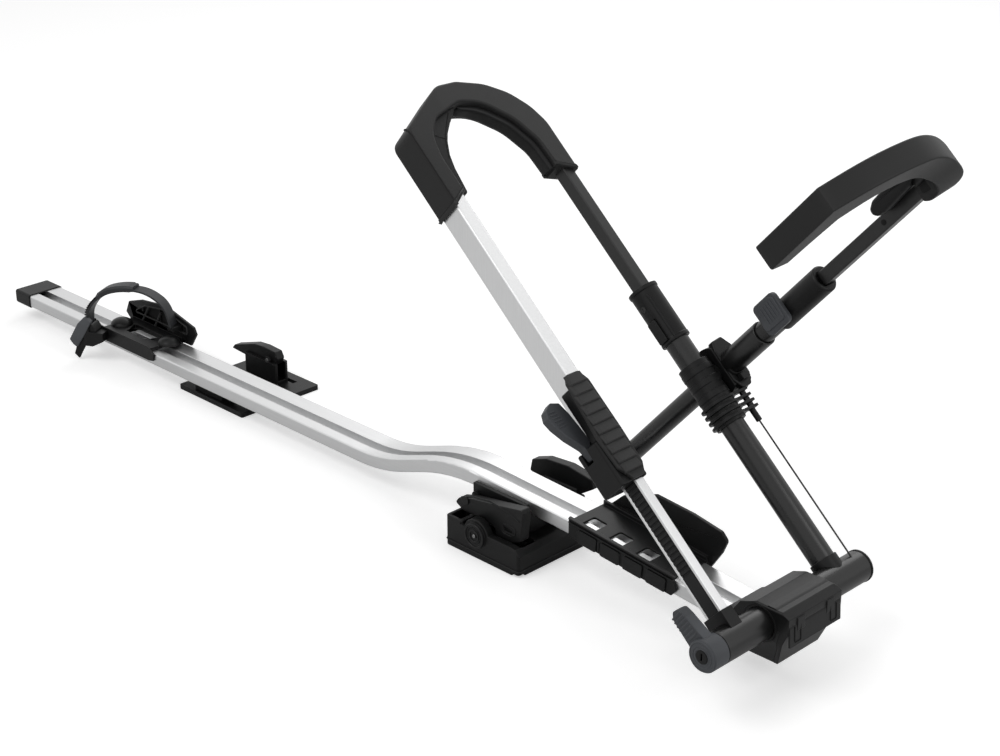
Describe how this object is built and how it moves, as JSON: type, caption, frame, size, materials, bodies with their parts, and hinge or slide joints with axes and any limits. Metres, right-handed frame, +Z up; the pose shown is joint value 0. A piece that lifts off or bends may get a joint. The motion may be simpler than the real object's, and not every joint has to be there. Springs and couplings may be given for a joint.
{
  "type": "roof bike carrier",
  "caption": "Upright roof bike carrier: aluminium wheel tray, folding padded hoop with sliding legs, swinging front hook, wheel strap, clamp feet and locks.",
  "frame": {"origin": "middle of the front foot's underside, on the roof bar", "axes": "+X to the front along the tray, +Y to the far side of the carrier, +Z up"},
  "size_m": [1.6894, 0.3038, 0.65],
  "materials": {
    "silver_aluminium": "satin anodised",
    "black_plastic": "fine grained",
    "grey_plastic": "fine grained",
    "strap_plastic": "satin",
    "black_metal": "powder coated",
    "soft_rubber": "soft touch",
    "rubber": "matte",
    "dark_steel": "dark plated"
  },
  "bodies": {
    "carrier": {"tray_rail": "silver_aluminium", "rear_end_cap": "black_plastic", "foot_base": "black_plastic", "foot_pad": "rubber", "foot_saddle": "black_plastic", "near_lever_pin": "dark_steel", "far_lever_hinge": "black_plastic", "cradle_frame": "black_plastic", "head_base": "black_plastic", "head_cover": "black_plastic", "axle_bushes": "black_plastic", "head_bolts": "dark_steel"},
    "foot_key": {"foot_lock": "dark_steel"},
    "near_lever": {"near_foot_lever": "black_plastic"},
    "far_lever": {"far_foot_lever": "black_plastic"},
    "hoop_base": {"cross_tube": "black_metal", "far_end_cap": "black_plastic", "leg_profile": "silver_aluminium", "rack_strip": "black_plastic", "leg_collars": "black_plastic", "far_leg_tube": "black_metal", "joint_sleeve": "black_plastic", "wire_guide": "black_plastic", "pivot_pin": "dark_steel", "pull_wire": "dark_steel", "slide_sleeve": "black_plastic", "sleeve_screw": "dark_steel"},
    "knob": {"release_knob": "grey_plastic"},
    "knob_key": {"lock_barrel": "dark_steel"},
    "sleeve_button": {"slide_button": "black_plastic"},
    "hoop_top": {"outer_tube": "silver_aluminium", "guide_bush": "black_plastic", "hoop_bar": "black_metal", "hook_shell": "soft_rubber", "hook_pads": "soft_rubber", "handle_housing": "black_plastic", "release_pin": "dark_steel", "handle_grip": "soft_rubber"},
    "squeeze_lever": {"release_lever": "grey_plastic"},
    "pawl": {"rack_pawl": "dark_steel"},
    "arm": {"arm_block": "black_plastic", "arm_lower_tube": "black_metal", "arm_upper_tube": "black_metal", "arm_shroud": "black_metal", "arm_sleeve": "black_plastic", "clamp_pin": "dark_steel"},
    "arm_release": {"arm_button": "black_plastic"},
    "arm_clamp": {"clamp_lever": "grey_plastic"},
    "arm_top": {"arm_bar": "black_metal", "front_hook": "soft_rubber", "front_pad": "soft_rubber"},
    "strap_holder": {"strap_cradle": "black_plastic", "wheel_strap": "strap_plastic", "strap_tail": "strap_plastic", "buckle_base": "black_plastic"},
    "buckle": {"buckle_lever": "grey_plastic"},
    "rear_foot": {"rear_plate": "black_plastic", "rear_tower": "black_plastic", "rear_lever_pin": "dark_steel"},
    "rear_clamp": {"rear_lever": "black_plastic"}
  },
  "joints": [
    {"name": "foot_lock_turn", "type": "hinge", "parent": "carrier", "child": "foot_key", "pos_m": [-0.0108, -0.076, 0.033], "axis": [0, -1, 0], "range_deg": [0, 90]},
    {"name": "near_lever_swing", "type": "hinge", "parent": "carrier", "child": "near_lever", "pos_m": [-0.044, -0.05, 0.066], "axis": [0, 1, 0], "range_deg": [-70, 0]},
    {"name": "far_lever_flip", "type": "hinge", "parent": "carrier", "child": "far_lever", "pos_m": [0.009, 0.066, 0.057], "axis": [1, 0, 0], "range_deg": [-90, 0]},
    {"name": "hoop_fold", "type": "hinge", "parent": "carrier", "child": "hoop_base", "pos_m": [0.438, 0, 0.0885], "axis": [0, 1, 0], "range_deg": [-36, 0]},
    {"name": "knob_turn", "type": "hinge", "parent": "hoop_base", "child": "knob", "pos_m": [0.438, -0.15, 0.0885], "axis": [0, 1, 0], "range_deg": [-40, 0]},
    {"name": "knob_key_turn", "type": "hinge", "parent": "knob", "child": "knob_key", "pos_m": [0.438, -0.16, 0.0885], "axis": [0, -1, 0], "range_deg": [0, 90]},
    {"name": "sleeve_button_press", "type": "slide", "parent": "hoop_base", "child": "sleeve_button", "axis": [0, 1, 0], "range_m": [0, 0.001], "stiffness_N_per_m": 400},
    {"name": "hoop_extend", "type": "slide", "parent": "hoop_base", "child": "hoop_top", "axis": [-0.7466, 0, 0.6652], "range_m": [-0.135, 0.04]},
    {"name": "release_squeeze", "type": "hinge", "parent": "hoop_top", "child": "squeeze_lever", "pos_m": [0.23888, -0.133, 0.24984], "axis": [0.6652, 0, 0.7466], "range_deg": [-8, 0], "stiffness_Nm_per_rad": 1},
    {"name": "pawl_draw", "type": "slide", "parent": "hoop_top", "child": "pawl", "axis": [0, -1, 0], "range_m": [0, 0.003]},
    {"name": "arm_fold", "type": "hinge", "parent": "hoop_base", "child": "arm", "pos_m": [0.2261, 0.114, 0.27729], "axis": [0, 1, 0], "range_deg": [-70, 0]},
    {"name": "arm_button_press", "type": "slide", "parent": "arm", "child": "arm_release", "axis": [-0.6639, 0, -0.7478], "range_m": [0, 0.003], "stiffness_N_per_m": 400},
    {"name": "arm_clamp_turn", "type": "hinge", "parent": "arm", "child": "arm_clamp", "pos_m": [0.3086, 0.094, 0.3672], "axis": [0, 1, 0], "range_deg": [0, 45]},
    {"name": "arm_extend", "type": "slide", "parent": "arm", "child": "arm_top", "axis": [0.6639, 0, 0.7478], "range_m": [-0.1, 0.03]},
    {"name": "strap_holder_slide", "type": "slide", "parent": "carrier", "child": "strap_holder", "axis": [1, 0, 0], "range_m": [-0.15, 0.35]},
    {"name": "buckle_open", "type": "hinge", "parent": "strap_holder", "child": "buckle", "pos_m": [-0.91056, -0.0499, 0.059], "axis": [-0.4583, 0.8888, 0], "range_deg": [0, 80]},
    {"name": "rear_foot_slide", "type": "slide", "parent": "carrier", "child": "rear_foot", "axis": [1, 0, 0], "range_m": [-0.25, 0.25]},
    {"name": "rear_clamp_lift", "type": "hinge", "parent": "rear_foot", "child": "rear_clamp", "pos_m": [-0.622, 0.092, 0.044], "axis": [0, 1, 0], "range_deg": [0, 75]}
  ],
  "couplings": [
    {"joint": "pawl_draw", "follows": "release_squeeze", "m_per_rad": -0.0214}
  ]
}
